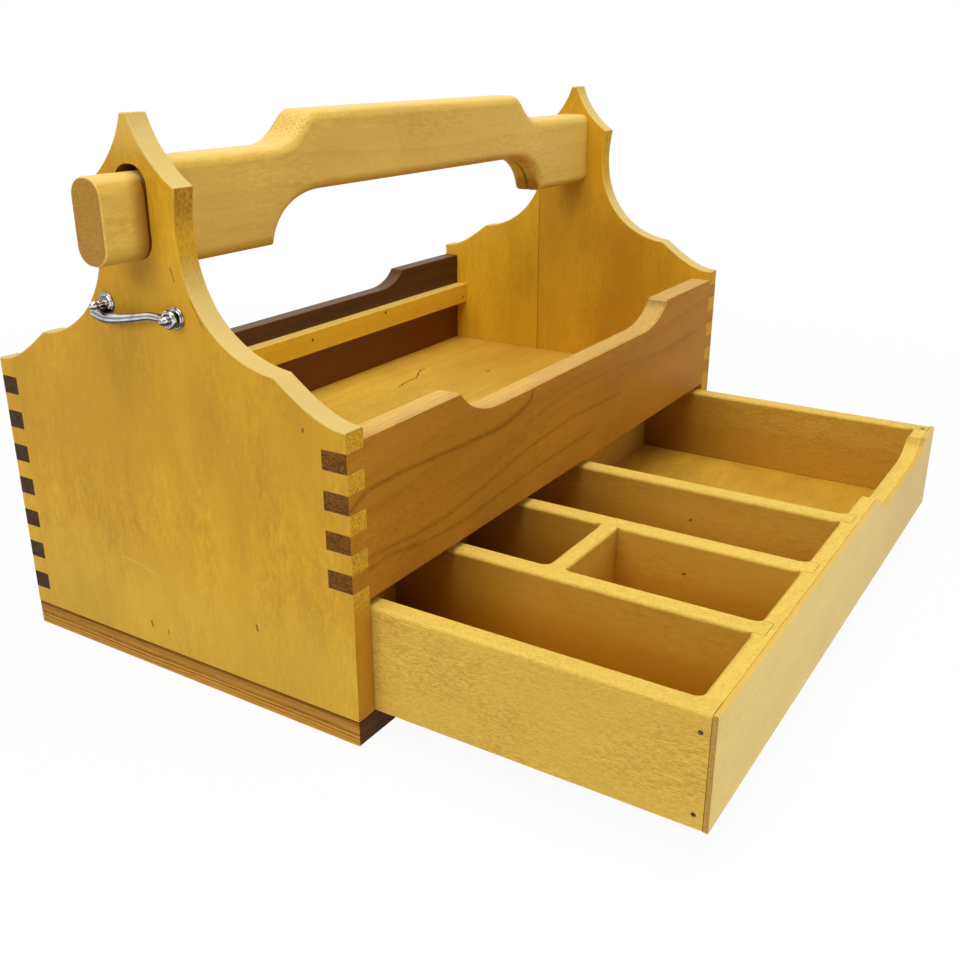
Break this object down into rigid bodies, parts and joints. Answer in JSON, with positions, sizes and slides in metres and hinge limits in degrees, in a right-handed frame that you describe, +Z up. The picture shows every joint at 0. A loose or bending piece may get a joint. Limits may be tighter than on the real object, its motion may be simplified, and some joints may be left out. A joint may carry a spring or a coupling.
{
  "type": "carpenters tool chest",
  "caption": "Wooden tool chest with a fixed carrying handle between tall shaped ends, an open tray above, and a divided drawer that slides out of the front below it.",
  "frame": {"origin": "centre of the base board's underside", "axes": "+X to the right along the chest, +Y from the drawer side to the back, +Z up"},
  "size_m": [0.486, 0.4, 0.2831],
  "materials": {
    "pale_wood": "oiled pale yellow hardwood, satin",
    "drawer_wood": "oiled light yellow hardwood, satin",
    "red_wood": "oiled reddish-brown hardwood with dark grain lines",
    "dark_wood": "oiled very dark brown hardwood",
    "plinth_wood": "oiled mid-brown open-grained hardwood",
    "hook_chrome": "polished",
    "nail_steel": "dull dark steel",
    "screw_steel": "plain zinc"
  },
  "bodies": {
    "chest": {"base_board": "plinth_wood", "left_end_board": "pale_wood", "right_end_front_plank": "pale_wood", "right_end_rear_plank": "pale_wood", "front_board": "red_wood", "back_board": "dark_wood", "tray_floor": "pale_wood", "back_ledge": "pale_wood", "handle": "pale_wood", "front_stud": "hook_chrome", "rear_stud": "hook_chrome", "ledge_nail_1": "nail_steel", "ledge_nail_2": "nail_steel", "ledge_nail_3": "nail_steel", "ledge_nail_4": "nail_steel", "ledge_nail_5": "nail_steel", "base_screw_1": "screw_steel", "base_screw_2": "screw_steel", "base_screw_3": "screw_steel", "base_screw_4": "screw_steel", "base_screw_5": "screw_steel", "base_screw_6": "screw_steel"},
    "drawer": {"drawer_left_side": "drawer_wood", "drawer_right_side": "drawer_wood", "drawer_front": "drawer_wood", "drawer_facing": "drawer_wood", "drawer_back": "drawer_wood", "drawer_bottom": "drawer_wood", "long_divider_1": "drawer_wood", "long_divider_2": "drawer_wood", "long_divider_3": "drawer_wood", "cross_divider": "drawer_wood", "drawer_nail_1": "nail_steel", "drawer_nail_2": "nail_steel", "drawer_nail_3": "nail_steel", "drawer_nail_4": "nail_steel", "drawer_nail_5": "nail_steel", "drawer_nail_6": "nail_steel", "drawer_nail_7": "nail_steel", "drawer_nail_8": "nail_steel"},
    "hook": {"hook_arm": "hook_chrome"}
  },
  "joints": [
    {"name": "drawer_slide", "type": "slide", "parent": "chest", "child": "drawer", "axis": [0, -1, 0], "range_m": [-0.168, 0.025]},
    {"name": "hook_swing", "type": "hinge", "parent": "chest", "child": "hook", "pos_m": [-0.2226, -0.0209, 0.1953], "axis": [1, 0, 0], "range_deg": [-95, 0]}
  ]
}
